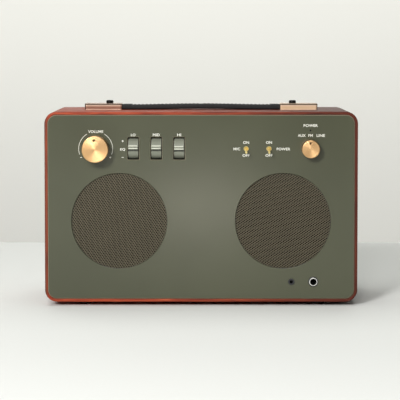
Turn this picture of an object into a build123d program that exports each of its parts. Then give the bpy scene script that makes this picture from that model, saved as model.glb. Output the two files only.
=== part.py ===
from build123d import *
import math
import os

# A table-top stereo amplifier in a wooden case: a wrapped wooden cabinet, a metal
# control panel, two full-range drivers behind round grilles, and a strap handle.
# Millimetres. X runs to the right, Y from the front to the back and Z up. The origin
# is the middle of the footprint, on the surface that the feet stand on. Positions on
# the front are given as x, a height above the cabinet's underside, and a depth behind
# the front edge of the wooden rim.

# Cabinet
cabinet_width = 340.0
cabinet_height = 207.0
cabinet_depth = 150.0
cabinet_corner = 13.0
wall = 9.0
cavity_corner = 4.0
rim_width = 3.1
rim_ease = 0.8
foot_height = 4.5
fit_gap = 0.3
screw_gap = 0.05
running_gap = 0.05

# Front panel and baffle
panel_recess = 0.1
panel_thickness = 2.0
panel_gap = 0.2
baffle_thickness = 9.0
edge_break = 0.4
panel_bevel = 0.8
grille_x = 89.0
grille_z = 88.3
grille_opening = 104.0
grille_disc = 110.0
grille_thickness = 0.8
cloth_thickness = 0.4
driver_opening = 96.0

# Controls on the front panel
control_z = 167.0
volume_x = -114.4
volume_radius = 14.5
volume_reach = 17.0
selector_x = 118.4
selector_radius = 9.9
selector_reach = 12.4
knob_lift = 0.5
knob_chamfer = 0.8
nut_room_depth = 5.0
shaft_radius = 3.0
bushing_radius = 4.5
nut_corner_radius = 6.35
nut_thickness = 2.0
pot_radius = 8.5
switch_radius = 11.0
control_body_depth = 10.0
eq_xs = (-73.7, -48.7, -23.9)
eq_z = 167.3
slot_width = 12.5
slot_height = 24.5
wheel_width = 11.0
wheel_radius = 13.5
wheel_proud = 2.1
rib_height = 1.6
rib_width = 4.6
rib_groove = 0.7
high_wheel_turn = -3.0
cheek_offset = 6.3
cheek_thickness = 1.4
axle_radius = 1.5
toggle_xs = (48.7, 73.5)
toggle_bushing_radius = 2.6
toggle_tilt = 16.0
toggle_length = 14.0
led_height = 186.8
led_radius = 0.9
mic_x = 122.0
line_x = 98.1
jack_z = 21.9
mic_bore_radius = 3.25
mic_bore_depth = 31.6
line_bore_radius = 1.8
line_bore_depth = 15.0
mic_sleeve_radius = 3.65
mic_ring_radius = 4.43
mic_ring_height = 1.4
washer_radius = 5.5
washer_thickness = 0.4
line_collar_radius = 3.45

# Drivers, as depths behind the rim
flange_radius = 54.0
flange_thickness = 1.2
driver_screw_circle = 51.0
cone_radius = 38.5
coil_radius = 12.8
coil_wall = 0.4
pole_radius = 11.9
gap_radius = 13.7
driver_screw_radius = 1.5
driver_screw_bite = 6.5
frame_back = 36.0
basket_mouth = 46.5
basket_foot = 25.5
basket_skin = 1.5
top_plate_thickness = 4.0
magnet_thickness = 10.0
magnet_radius = 30.0
magnet_hole = 16.0
yoke_radius = 28.0
yoke_thickness = 4.0
spider_depth = 31.0
spider_radius = 27.5
neck_depth = 27.6
cone_front = 11.5
cone_wall = 0.6
coil_length = 14.0
dome_rise = 5.0
roll_radius = 4.0
roll_wall = 0.6

# Handle
cap_inner_x = 88.5
cap_outer_x = 130.1
cap_depth = 26.0
cap_height = 7.0
cap_corner = 2.0
cap_top_round = 0.8
strap_width = 20.0
strap_thickness = 5.5
strap_play = 0.15
strap_bow = 1.6
strap_end_x = 118.0
grip_half_length = 60.0
handle_screw_x = 102.6
handle_screw_radius = 2.0
handle_head_radius = 4.0

# Rear
rear_recess = 8.0
rear_panel_thickness = 4.0
cleat = 12.0
io_width = 132.0
io_height = 58.0
io_z = 62.0
io_thickness = 1.2
foot_x = 127.5
foot_radius = 7.5
foot_inset = 22.0
foot_screw_radius = 1.6
foot_screw_reach = 7.0
foot_head_radius = 3.0
foot_head_height = 1.8
rear_screw_radius = 1.5
inlet_x = 46.0
av_x = 12.0
rca_xs = (-22.0, -42.0)
rca_radius = 4.15
rca_reach = 6.5

# Electronics
board_thickness = 1.6
board_z = 74.0
board_gap = 10.4
spacer_radius = 3.0
spacer_hole = 1.6
supply_x = -110.0
supply_depth = 88.0
supply_lift = 8.0

# Derived places
front_y = -(cabinet_depth - (volume_reach - panel_recess)) / 2
panel_back = panel_recess + panel_thickness
baffle_back = panel_back + baffle_thickness
middle_z = cabinet_height / 2
cavity_width = cabinet_width - 2 * wall
cavity_height = cabinet_height - 2 * wall
axle_depth = panel_recess - wheel_proud + wheel_radius
rear_face = cabinet_depth - rear_recess
rear_inner = rear_face - rear_panel_thickness
body_start = panel_back + nut_thickness
handle_y = cabinet_depth / 2


def facing(x, z, depth):
    # A plane parallel to the front, whose normal points to the back.
    return Plane(origin=(x, front_y + depth, foot_height + z), x_dir=(1, 0, 0), z_dir=(0, 1, 0))


def slab(x, z, start, width, height, thickness, corner=0.0):
    outline = RectangleRounded(width, height, corner) if corner else Rectangle(width, height)
    return extrude(facing(x, z, start) * outline, thickness)


def disc(x, z, start, radius, thickness):
    return extrude(facing(x, z, start) * Circle(radius), thickness)


def ring(x, z, start, outer, inner, thickness):
    return disc(x, z, start, outer, thickness) - disc(x, z, start, inner, thickness)


def hexagon(x, z, start, corner_radius, thickness):
    return extrude(facing(x, z, start) * RegularPolygon(corner_radius, 6), thickness)


def post(x, z, depth, radius, height):
    # An upright cylinder standing at height z.
    return extrude(Plane(origin=(x, front_y + depth, foot_height + z)) * Circle(radius), height)


def spun(x, z, curves):
    # A closed outline in (radius, depth), turned about an axis from front to back.
    place = Plane(origin=(x, front_y, foot_height + z), x_dir=(1, 0, 0), z_dir=(0, 0, 1))
    return revolve(place * make_face(curves), Axis((x, front_y, foot_height + z), (0, 1, 0)))


def closed(points):
    return Polyline(*points, close=True)


def group(solids):
    return Compound(children=list(solids))


def save(name, shape):
    export_step(shape, "parts/" + name + ".step")


def front_rim_edges(solid, last=False):
    faces = solid.faces().sort_by(Axis.Y)
    return (faces[-1] if last else faces[0]).outer_wire().edges()


def make_cabinet():
    outer = slab(0, middle_z, 0, cabinet_width, cabinet_height, cabinet_depth, cabinet_corner)
    outer = fillet(front_rim_edges(outer) + front_rim_edges(outer, last=True), rim_ease)
    inner = slab(0, middle_z, -1, cavity_width, cavity_height, cabinet_depth + 2, cavity_corner)
    rabbet_width = cabinet_width - 2 * rim_width
    rabbet_height = cabinet_height - 2 * rim_width
    rabbet_corner = cabinet_corner - rim_width
    rabbet = slab(0, middle_z, -1, rabbet_width, rabbet_height, panel_back + 1, rabbet_corner)
    wrap = outer - inner - rabbet
    for side in (-1, 1):
        hole_radius = handle_screw_radius + screw_gap
        wrap -= post(side * handle_screw_x, cabinet_height - wall - 1, handle_y, hole_radius, wall + 2)
    for x, depth in foot_places():
        wrap -= post(x, -1, depth, foot_screw_radius + screw_gap, foot_screw_reach + 1)
    save("cabinet_wrap", wrap)


def foot_places():
    return [(side * foot_x, depth) for side in (-1, 1) for depth in (foot_inset, cabinet_depth - foot_inset)]


def make_feet():
    feet = []
    screws = []
    for x, depth in foot_places():
        foot = post(x, -foot_height, depth, foot_radius, foot_height)
        foot = chamfer(foot.edges().sort_by(Axis.Z)[0], edge_break * 2)
        foot -= post(x, -foot_height, depth, foot_head_radius + 0.3, foot_head_height + 0.7)
        foot -= post(x, -foot_height, depth, foot_screw_radius + screw_gap, foot_height)
        feet.append(foot)
        head_base = -foot_height + 0.7
        screw = post(x, head_base, depth, foot_head_radius, foot_head_height)
        screw += post(x, head_base, depth, foot_screw_radius, foot_screw_reach - head_base - 0.5)
        slot = Box(foot_head_radius * 1.3, 0.8, 1.0)
        place = Location((x, front_y + depth, foot_height + head_base))
        screws.append(screw - place * slot - place * Rot(0, 0, 90) * slot)
    save("feet", group(feet))
    save("foot_screws", group(screws))


def make_baffle():
    baffle = slab(0, middle_z, panel_back, cavity_width - 2 * fit_gap, cavity_height - 2 * fit_gap,
                  baffle_thickness, cavity_corner)
    recess_depth = grille_thickness + cloth_thickness
    for x in (-grille_x, grille_x):
        baffle -= disc(x, grille_z, panel_back, grille_disc / 2 + fit_gap, recess_depth)
        baffle -= disc(x, grille_z, panel_back, driver_opening / 2, baffle_thickness)
        for dx, dz in driver_screw_places():
            pilot = driver_screw_radius + screw_gap
            baffle -= disc(x + dx, grille_z + dz, baffle_back - driver_screw_bite, pilot, driver_screw_bite)
    windows = [
        (volume_x, control_z, 32.0, 32.0),
        (selector_x, control_z, 28.0, 34.0),
        (sum(eq_xs) / 3, eq_z, 84.0, 36.0),
        (toggle_xs[0], control_z, 14.0, 18.0),
        (toggle_xs[1], control_z, 14.0, 18.0),
        (selector_x, led_height, 6.0, 6.0),
        (mic_x, jack_z, 18.0, 18.0),
        (line_x, jack_z, 12.0, 12.0),
    ]
    for x, z, width, height in windows:
        baffle -= slab(x, z, panel_back, width, height, baffle_thickness)
    save("front_baffle", baffle)


def make_front_panel():
    width = cabinet_width - 2 * rim_width - 2 * panel_gap
    height = cabinet_height - 2 * rim_width - 2 * panel_gap
    corner = cabinet_corner - rim_width - panel_gap
    panel = slab(0, middle_z, panel_recess, width, height, panel_thickness, corner)
    cutters = [disc(x, grille_z, panel_recess, grille_opening / 2, panel_thickness)
               for x in (-grille_x, grille_x)]
    cutters += [slab(x, eq_z, panel_recess, slot_width, slot_height, panel_thickness, 0.6) for x in eq_xs]
    for cutter in cutters:
        panel -= cutter
    panel = chamfer(panel.faces().sort_by(Axis.Y)[0].inner_wires().edges(), edge_break)
    panel = chamfer(front_rim_edges(panel), panel_bevel)
    for x in (volume_x, selector_x):
        panel -= disc(x, control_z, panel_recess, bushing_radius + screw_gap, panel_thickness)
    for x in toggle_xs:
        panel -= disc(x, control_z, panel_recess, toggle_bushing_radius + screw_gap, panel_thickness)
    panel -= disc(selector_x, led_height, panel_recess, led_radius + screw_gap, panel_thickness)
    panel -= disc(mic_x, jack_z, panel_recess, mic_sleeve_radius + screw_gap, panel_thickness)
    panel -= disc(line_x, jack_z, panel_recess, line_collar_radius + screw_gap, panel_thickness)
    save("front_panel", panel)


def make_grilles():
    cloths = []
    for name, x in (("left_grille", -grille_x), ("right_grille", grille_x)):
        save(name, disc(x, grille_z, panel_back, grille_disc / 2, grille_thickness))
        cloths.append(disc(x, grille_z, panel_back + grille_thickness, grille_disc / 2, cloth_thickness))
    save("grille_cloths", group(cloths))


# Drivers
def driver_screw_places():
    reach = driver_screw_circle * math.sqrt(0.5)
    return [(sx * reach, sz * reach) for sx in (-1, 1) for sz in (-1, 1)]


def make_basket(x):
    rear_plate = frame_back - basket_skin
    basket = spun(x, grille_z, closed([
        (basket_mouth, baffle_back), (flange_radius, baffle_back),
        (flange_radius, baffle_back + flange_thickness),
        (basket_mouth + basket_skin, baffle_back + flange_thickness),
        (basket_foot + basket_skin, rear_plate), (basket_foot + basket_skin, frame_back),
        (gap_radius, frame_back), (gap_radius, rear_plate),
        (basket_foot, rear_plate), (basket_mouth, baffle_back + 1),
    ]))
    hub = Axis((x, 0, foot_height + grille_z), (0, 1, 0))
    window = slab(x, grille_z + 32.0, 17.5, 24.0, 60.0, 12.5)
    for turn in range(4):
        basket -= window.rotate(hub, 90 * turn)
    for dx, dz in driver_screw_places():
        hole = driver_screw_radius + screw_gap
        basket -= disc(x + dx, grille_z + dz, baffle_back, hole, flange_thickness)
    return basket


def dome_arc(edge_radius, top, edge_depth):
    # Half of a circle's cap, centred on the axis, from the axis out to the edge.
    rise = edge_depth - top
    sphere_radius = (edge_radius ** 2 + rise ** 2) / (2 * rise)
    middle_radius = edge_radius * 0.6
    middle = top + sphere_radius - math.sqrt(sphere_radius ** 2 - middle_radius ** 2)
    return ThreePointArc((0, top), (middle_radius, middle), (edge_radius, edge_depth))


def make_cone(x):
    # A paper cone with the dust dome glued over its neck, as one closed outline.
    slope = (neck_depth - cone_front) / (cone_radius - coil_radius)
    dome_edge = coil_radius + 1.0
    edge_depth = neck_depth - slope * (dome_edge - coil_radius)
    neck_inner = coil_radius - coil_wall
    neck_back = neck_depth + cone_wall
    top = edge_depth - dome_rise
    under = top + cone_wall
    dome = dome_arc(dome_edge, top, edge_depth)
    hollow = dome_arc(neck_inner, under, neck_back)
    skirt = Polyline((dome_edge, edge_depth), (cone_radius, cone_front),
                     (cone_radius, cone_front + cone_wall),
                     (coil_radius, neck_back), (neck_inner, neck_back))
    return spun(x, grille_z, Curve() + [dome, skirt, hollow, Line((0, under), (0, top))])


def make_surround(x):
    middle = cone_radius + running_gap + roll_radius
    depth = cone_front + cone_wall / 2
    thin = roll_radius - roll_wall
    outer = ThreePointArc((middle - roll_radius, depth), (middle, depth - roll_radius),
                          (middle + roll_radius - 0.1, depth))
    inner = ThreePointArc((middle + thin, depth), (middle, depth - thin), (middle - thin, depth))
    ends = [Line(outer @ 1, inner @ 0), Line(inner @ 1, outer @ 0)]
    return spun(x, grille_z, Curve() + [outer, inner] + ends)


def make_drivers():
    magnets = []
    plates = []
    screws = []
    plate_back = frame_back + top_plate_thickness
    magnet_back = plate_back + magnet_thickness
    for side, x in (("left", -grille_x), ("right", grille_x)):
        save(side + "_basket", make_basket(x))
        save(side + "_cone", make_cone(x))
        coil_start = neck_depth + cone_wall
        coil = ring(x, grille_z, coil_start, coil_radius, coil_radius - coil_wall, coil_length)
        save(side + "_voice_coil", coil)
        spider = ring(x, grille_z, spider_depth, spider_radius, coil_radius + running_gap, roll_wall)
        save(side + "_suspension", group([make_surround(x), spider]))
        plates.append(ring(x, grille_z, frame_back, yoke_radius - 2, gap_radius, top_plate_thickness))
        magnets.append(ring(x, grille_z, plate_back, magnet_radius, magnet_hole, magnet_thickness))
        pole = disc(x, grille_z, frame_back, pole_radius, magnet_back - frame_back)
        plates.append(pole + disc(x, grille_z, magnet_back, yoke_radius, yoke_thickness))
        for dx, dz in driver_screw_places():
            head_start = baffle_back + flange_thickness
            head = disc(x + dx, grille_z + dz, head_start, 2.8, 1.6)
            reach = driver_screw_bite - 0.5 + flange_thickness
            shank = disc(x + dx, grille_z + dz, head_start - reach, driver_screw_radius, reach)
            screws.append(head + shank)
    save("ring_magnets", group(magnets))
    save("magnet_plates", group(plates))
    save("driver_screws", group(screws))


# Controls
def make_knob(name, x, radius, reach, pointer_radius, pointer_angle):
    start = panel_recess - reach
    back = panel_recess - knob_lift
    knob = disc(x, control_z, start, radius, back - start)
    knob = chamfer(front_rim_edges(knob), knob_chamfer)
    knob -= disc(x, control_z, back - nut_room_depth, nut_corner_radius + 0.8, nut_room_depth)
    knob -= disc(x, control_z, start + 3.0, shaft_radius + running_gap, back - start)
    lean = math.radians(pointer_angle)
    dimple_x = x + pointer_radius * math.sin(lean)
    dimple_z = control_z + pointer_radius * math.cos(lean)
    dimple = Sphere(2.0)
    knob -= Pos(dimple_x, front_y + start - 1.3, foot_height + dimple_z) * dimple
    save(name + "_knob", knob)
    shaft_start = start + 3.2
    save(name + "_shaft", disc(x, control_z, shaft_start, shaft_radius, panel_back + 4.0 - shaft_start))


def make_control_body(x, radius):
    body = disc(x, control_z, panel_back, radius, control_body_depth)
    bushing_start = panel_recess - nut_thickness - 1.0
    body += disc(x, control_z, bushing_start, bushing_radius, panel_back - bushing_start)
    body -= disc(x, control_z, bushing_start, shaft_radius + running_gap, panel_back + 4.2 - bushing_start)
    for pitch in (-4.0, 0.0, 4.0):
        body += slab(x + pitch, control_z - radius - 1.5, panel_back + 4.0, 1.4, 7.0, 0.6)
    return body


def make_controls():
    make_knob("volume", volume_x, volume_radius, volume_reach, 9.7, -4.5)
    make_knob("selector", selector_x, selector_radius, selector_reach, 6.4, 0.0)
    save("volume_pot", make_control_body(volume_x, pot_radius))
    save("selector_switch", make_control_body(selector_x, switch_radius))
    nuts = []
    for x in (volume_x, selector_x):
        nut = hexagon(x, control_z, panel_recess - nut_thickness, nut_corner_radius, nut_thickness)
        nuts.append(nut - disc(x, control_z, -5, bushing_radius + screw_gap, 10))
    for x in toggle_xs:
        nut = hexagon(x, control_z, panel_back, 4.6, nut_thickness)
        nuts.append(nut - disc(x, control_z, 0, toggle_bushing_radius + screw_gap, 10))
    save("panel_nuts", group(nuts))


def make_wheel(x, turn):
    axle_reach_left = cheek_offset + cheek_thickness + 0.8
    axle_reach_right = cheek_offset + cheek_thickness + 3.5
    side = Plane(origin=(x, front_y + axle_depth, foot_height + eq_z), x_dir=(0, 1, 0), z_dir=(1, 0, 0))
    wheel = extrude(side * Circle(wheel_radius), wheel_width / 2, both=True)
    wheel = chamfer(wheel.edges().filter_by(GeomType.CIRCLE), 0.5)
    rib = side * Pos(-wheel_radius + 1.0, 0, 0) * Box(2 * (rib_height + 1.0), rib_width, wheel_width - 1.4)
    groove = side * Pos(-wheel_radius - rib_height, 0, 0) * Box(rib_height, rib_groove, wheel_width)
    round_stock = extrude(side * Circle(wheel_radius + rib_height), wheel_width / 2, both=True)
    rib = rib & round_stock
    wheel = wheel + rib - groove
    length = axle_reach_left + axle_reach_right
    axle_middle = (axle_reach_right - axle_reach_left) / 2
    axle = side * Pos(0, 0, axle_middle) * Cylinder(axle_radius, length)
    wheel = wheel + axle
    hub = Axis((x, front_y + axle_depth, foot_height + eq_z), (1, 0, 0))
    return wheel.rotate(hub, -turn)


def make_equaliser():
    for name, x, turn in zip(("low", "mid", "high"), eq_xs, (0.0, 0.0, high_wheel_turn)):
        save("eq_" + name + "_wheel", make_wheel(x, turn))
    middle_x = sum(eq_xs) / 3
    base_start = axle_depth + wheel_radius + 1.5
    plate = 1.5
    bracket = slab(middle_x, eq_z, base_start, 92.0, 22.0, plate)
    for side in (-1, 1):
        leg_x = middle_x + side * (46.0 - plate / 2)
        bracket += slab(leg_x, eq_z, baffle_back, plate, 22.0, base_start - baffle_back)
        foot_mid = middle_x + side * (46.0 + 3.5)
        bracket += slab(foot_mid, eq_z, baffle_back, 10.0, 22.0, plate)
    cheek_start = 6.0
    for x in eq_xs:
        for side in (-1, 1):
            cheek_x = x + side * (cheek_offset + cheek_thickness / 2)
            bracket += slab(cheek_x, eq_z, cheek_start, cheek_thickness, 16.0, base_start - cheek_start)
    pots = []
    for x in eq_xs:
        start_x = x + cheek_offset + cheek_thickness
        bore = Plane(origin=(x - 10.0, front_y + axle_depth, foot_height + eq_z), z_dir=(1, 0, 0))
        bore_solid = extrude(bore * Circle(axle_radius + running_gap), 22.2)
        bracket -= bore_solid
        pot = slab(start_x + 2.5, eq_z, axle_depth - 6.0, 5.0, 12.0, 12.0)
        pots.append(pot - bore_solid)
    save("eq_bracket", bracket)
    save("eq_pots", group(pots))


def make_toggles():
    bodies = []
    pivot_depth = 0.0
    mouth = panel_recess - 2.8
    for name, x in zip(("mic", "power"), toggle_xs):
        body = slab(x, control_z, body_start, 8.0, 13.0, 9.0)
        body += disc(x, control_z, mouth, toggle_bushing_radius, body_start - mouth)
        body -= disc(x, control_z, pivot_depth - 0.4, 1.8, body_start + 4.0)
        body -= spun(x, control_z, closed([
            (0, mouth - 0.01), (2.2, mouth - 0.01), (1.8, pivot_depth), (0, pivot_depth),
        ]))
        body -= slab(x, control_z, body_start - 0.5, 3.6, 8.0, 5.0)
        for step in (-4.0, 0.0, 4.0):
            body += slab(x, control_z + step, body_start + 9.0, 0.8, 1.6, 4.0)
        bodies.append(body)
        tip = pivot_depth - toggle_length
        lever = spun(x, control_z, closed([
            (0, tip), (0.8, tip + 0.15), (1.15, tip + 0.7), (1.25, tip + 1.4), (0.95, pivot_depth - 1.0),
            (0.6, pivot_depth + 1.0), (0.5, pivot_depth + 5.0), (0, pivot_depth + 5.0),
        ]))
        lever += Pos(x, front_y + pivot_depth, foot_height + control_z) * Sphere(1.7)
        pivot = Axis((x, front_y + pivot_depth, foot_height + control_z), (1, 0, 0))
        save(name + "_toggle_lever", lever.rotate(pivot, toggle_tilt))
    save("toggle_bodies", group(bodies))


def make_led():
    led = disc(selector_x, led_height, panel_recess - 0.2, led_radius, 3.2)
    led += disc(selector_x, led_height, panel_back, led_radius + 0.8, 1.2)
    save("power_led", led)


# Sockets on the front
def make_front_sockets():
    mouth = panel_recess - washer_thickness - mic_ring_height + 0.2
    jack = disc(mic_x, jack_z, mouth, mic_sleeve_radius, panel_back - mouth)
    jack += slab(mic_x, jack_z, panel_back, 15.0, 15.0, 30.0)
    jack -= disc(mic_x, jack_z, mouth, mic_bore_radius, mic_bore_depth)
    save("mic_jack", jack)
    inner = mic_sleeve_radius + screw_gap
    washer_start = panel_recess - washer_thickness
    save("mic_jack_washer", ring(mic_x, jack_z, washer_start, washer_radius, inner, washer_thickness))
    nut = ring(mic_x, jack_z, washer_start - mic_ring_height, mic_ring_radius, inner, mic_ring_height)
    save("mic_jack_ring", chamfer(front_rim_edges(nut), 0.3))
    line_mouth = panel_recess - 0.8
    line = disc(line_x, jack_z, line_mouth, line_collar_radius, panel_back - line_mouth)
    line += slab(line_x, jack_z, panel_back, 9.0, 9.0, 15.0)
    line -= disc(line_x, jack_z, line_mouth, line_bore_radius, line_bore_depth)
    save("line_jack", line)


# Strap handle on the top
def make_handle():
    top = cabinet_height
    length = cap_outer_x - cap_inner_x
    screws = []
    for side, name in ((-1, "left"), (1, "right")):
        mid_x = side * (cap_inner_x + length / 2)
        place = Location((mid_x, front_y + handle_y, foot_height + top + cap_height / 2))
        cap = place * Box(length, cap_depth, cap_height)
        cap = fillet(cap.edges().filter_by(Axis.Z), cap_corner)
        cap = fillet(cap.faces().sort_by(Axis.Z)[-1].edges(), cap_top_round)
        tunnel_end = cap_outer_x - 4.0
        tunnel_length = tunnel_end - cap_inner_x + 5.0
        tunnel_x = side * (tunnel_end - tunnel_length / 2)
        tunnel_height = strap_thickness + 2 * strap_play
        tunnel_place = Location((tunnel_x, front_y + handle_y, foot_height + top + tunnel_height / 2))
        cap -= tunnel_place * Box(tunnel_length, strap_width + 2 * fit_gap, tunnel_height)
        screw_x = side * handle_screw_x
        hole_radius = handle_screw_radius + screw_gap
        cap -= post(screw_x, top, handle_y, hole_radius, cap_height)
        save(name + "_handle_cap", cap)
        head_base = top + cap_height
        head = post(screw_x, head_base, handle_y, handle_head_radius, 3.4)
        head = fillet(head.edges().sort_by(Axis.Z)[-1], 1.4)
        screw = head + post(screw_x, top - wall - 2.0, handle_y, handle_screw_radius, cap_height + wall + 2.0)
        recess_place = Location((screw_x, front_y + handle_y, foot_height + head_base + 3.4))
        cross = Box(4.2, 0.9, 2.4)
        screws.append(screw - recess_place * cross - recess_place * Rot(0, 0, 90) * cross)
        save(name + "_strap_end", make_strap_end(side))
    save("handle_screws", group(screws))
    save("handle_grip", make_grip())


def strap_plane():
    # A plane along the strap: its first direction is x and its second is up.
    base = foot_height + cabinet_height + strap_play
    return Plane(origin=(0, front_y + handle_y, base), x_dir=(1, 0, 0), z_dir=(0, -1, 0))


def make_grip():
    half = grip_half_length - 0.05
    crown = strap_thickness + strap_bow
    top_arc = ThreePointArc((-half, strap_thickness), (0, crown), (half, strap_thickness))
    under_arc = ThreePointArc((half, 0), (0, strap_bow), (-half, 0))
    ends = [Line(top_arc @ 1, under_arc @ 0), Line(under_arc @ 1, top_arc @ 0)]
    outline = strap_plane() * make_face(Curve() + [top_arc, under_arc] + ends)
    return extrude(outline, strap_width / 2, both=True)


def make_strap_end(side):
    length = strap_end_x - grip_half_length
    middle = side * (grip_half_length + length / 2)
    outline = strap_plane() * Pos(middle, strap_thickness / 2, 0) * Rectangle(length, strap_thickness)
    end = extrude(outline, strap_width / 2, both=True)
    slot_x = side * handle_screw_x
    slot = Location((slot_x, front_y + handle_y, foot_height + cabinet_height + strap_thickness / 2))
    return end - slot * Box(16.0, 2 * (handle_screw_radius + 0.5), strap_thickness + 4)


# Rear of the cabinet
def rear_screw_places():
    half_width = cavity_width / 2 - cleat / 2
    half_height = cavity_height / 2 - cleat / 2
    places = [(sx * half_width, middle_z + sz * half_height) for sx in (-1, 1) for sz in (-0.9, 0.0, 0.9)]
    return places + [(0.0, middle_z + half_height), (0.0, middle_z - half_height)]


def io_screw_places():
    half_width = io_width / 2 - 5.0
    half_height = io_height / 2 - 5.0
    return [(sx * half_width, io_z + sz * half_height) for sx in (-1, 1) for sz in (-1, 1)]


def make_rear():
    width = cavity_width - 2 * fit_gap
    height = cavity_height - 2 * fit_gap
    panel = slab(0, middle_z, rear_inner, width, height, rear_panel_thickness, cavity_corner)
    panel -= slab(0, io_z, rear_inner, io_width - 18.0, io_height - 18.0, rear_panel_thickness)
    hole = rear_screw_radius + screw_gap
    cleat_start = rear_inner - cleat
    inner_height = cavity_height - 2 * cleat
    bars = [
        slab(0, wall + cleat / 2, cleat_start, cavity_width - 8.0, cleat, cleat),
        slab(0, cabinet_height - wall - cleat / 2, cleat_start, cavity_width - 8.0, cleat, cleat),
        slab(-(cavity_width - cleat) / 2, middle_z, cleat_start, cleat, inner_height, cleat),
        slab((cavity_width - cleat) / 2, middle_z, cleat_start, cleat, inner_height, cleat),
    ]
    screws = []
    for x, z in rear_screw_places():
        panel -= disc(x, z, rear_inner, hole, rear_panel_thickness)
        bars = [bar - disc(x, z, rear_inner - 9.0, hole, 9.0) for bar in bars]
        screws.append(make_rear_screw(x, z, rear_face, 12.0))
    for x, z in io_screw_places():
        panel -= disc(x, z, rear_inner, hole, rear_panel_thickness)
        screws.append(make_rear_screw(x, z, rear_face + io_thickness, 5.0))
    save("rear_panel", panel)
    save("rear_cleats", group(bars))
    save("rear_screws", group(screws))


def make_rear_screw(x, z, seat, length):
    head = disc(x, z, seat, 3.0, 1.8)
    head = fillet(front_rim_edges(head, last=True), 0.9)
    screw = head + disc(x, z, seat - length, rear_screw_radius, length)
    arm = slab(x, z, seat + 0.9, 3.6, 0.8, 1.0)
    return screw - arm - slab(x, z, seat + 0.9, 0.8, 3.6, 1.0)


def make_io_plate():
    plate = slab(0, io_z, rear_face, io_width, io_height, io_thickness, 3.0)
    for x, z in io_screw_places():
        plate -= disc(x, z, rear_face, rear_screw_radius + screw_gap, io_thickness)
    plate -= slab(inlet_x, io_z, rear_face, 22.1, 14.1, io_thickness, 7.0)
    plate -= slab(av_x, io_z, rear_face, 16.3, 7.3, io_thickness)
    sockets = []
    for x in rca_xs:
        plate -= disc(x, io_z, rear_face, 5.05, io_thickness)
        outer_face = rear_face + io_thickness
        socket = slab(x, io_z, rear_face - 10.0, 12.0, 14.0, 9.9)
        socket += disc(x, io_z, rear_face - 0.1, 5.0, io_thickness + 0.1)
        socket += disc(x, io_z, outer_face, rca_radius, rca_reach)
        socket -= disc(x, io_z, outer_face - 3.0, 1.75, rca_reach + 3.0)
        sockets.append(socket)
    save("rear_io_plate", plate)
    save("rca_sockets", group(sockets))
    inlet = slab(inlet_x, io_z, rear_face - 14.0, 22.0, 14.0, 14.0 + io_thickness, 6.9)
    inlet += slab(inlet_x, io_z, rear_face + io_thickness, 26.0, 18.0, 1.5, 3.0)
    inlet -= slab(inlet_x, io_z, rear_face - 11.0, 17.0, 9.4, 20.0, 4.6)
    for side in (-1, 1):
        inlet += disc(inlet_x + side * 4.3, io_z, rear_face - 11.5, 1.2, 9.4)
    save("mains_inlet", inlet)
    av = slab(av_x, io_z, rear_face - 11.0, 16.0, 7.0, 11.0 + io_thickness)
    av -= slab(av_x, io_z, rear_face - 9.5, 14.4, 5.4, 12.0, 0.8)
    av += slab(av_x, io_z - 0.6, rear_face - 10.0, 11.0, 1.2, 8.5)
    save("av_socket", av)


# Electronics inside
def upright_block(x, z, depth, width, length, height):
    # A block standing at height z, centred on x and depth.
    place = Location((x, front_y + depth, foot_height + z + height / 2))
    return place * Box(width, length, height)


def make_electronics():
    board_start = rear_inner - board_gap - board_thickness
    board = slab(0, board_z, board_start, 150.0, 90.0, board_thickness, 2.0)
    supply_z = wall + supply_lift
    supply_board = upright_block(supply_x, supply_z, supply_depth, 84.0, 66.0, board_thickness)
    spacers = []
    for sx in (-1, 1):
        for sy in (-1, 1):
            x = sx * 70.0
            z = board_z + sy * 40.0
            board -= disc(x, z, board_start, spacer_hole, board_thickness)
            spacers.append(ring(x, z, board_start + board_thickness, spacer_radius, spacer_hole, board_gap))
            x = supply_x + sx * 37.0
            depth = supply_depth + sy * 28.0
            supply_board -= post(x, supply_z, depth, spacer_hole, board_thickness)
            spacer = post(x, wall, depth, spacer_radius, supply_lift)
            spacers.append(spacer - post(x, wall, depth, spacer_hole, supply_lift))
    save("main_board", board)
    save("supply_board", supply_board)
    save("board_spacers", group(spacers))
    sink_x = 20.0
    sink_z = board_z + 6.0
    fin_span = 66.0
    fin_count = 8
    sink = slab(sink_x, sink_z, board_start - 4.0, 70.0, 50.0, 4.0)
    for fin in range(fin_count):
        fin_x = sink_x + fin_span * (fin / (fin_count - 1) - 0.5)
        sink += slab(fin_x, sink_z, board_start - 22.0, 2.0, 50.0, 18.0)
    save("heatsink", sink)
    cans = [disc(x, board_z + 18.0 * row, board_start - 22.0, 7.0, 22.0)
            for x in (-58.0, -41.0) for row in (-1, 1)]
    save("board_capacitors", group(cans))
    core_z = supply_z + board_thickness
    core = upright_block(supply_x, core_z, supply_depth, 46.0, 30.0, 36.0)
    coil = upright_block(supply_x, core_z + 3.0, supply_depth, 32.0, 44.0, 30.0)
    save("transformer", core + coil)


make_cabinet()
make_feet()
make_baffle()
make_front_panel()
make_grilles()
make_drivers()
make_controls()
make_equaliser()
make_toggles()
make_led()
make_front_sockets()
make_handle()
make_rear()
make_io_plate()
make_electronics()
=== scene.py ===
import math

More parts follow.
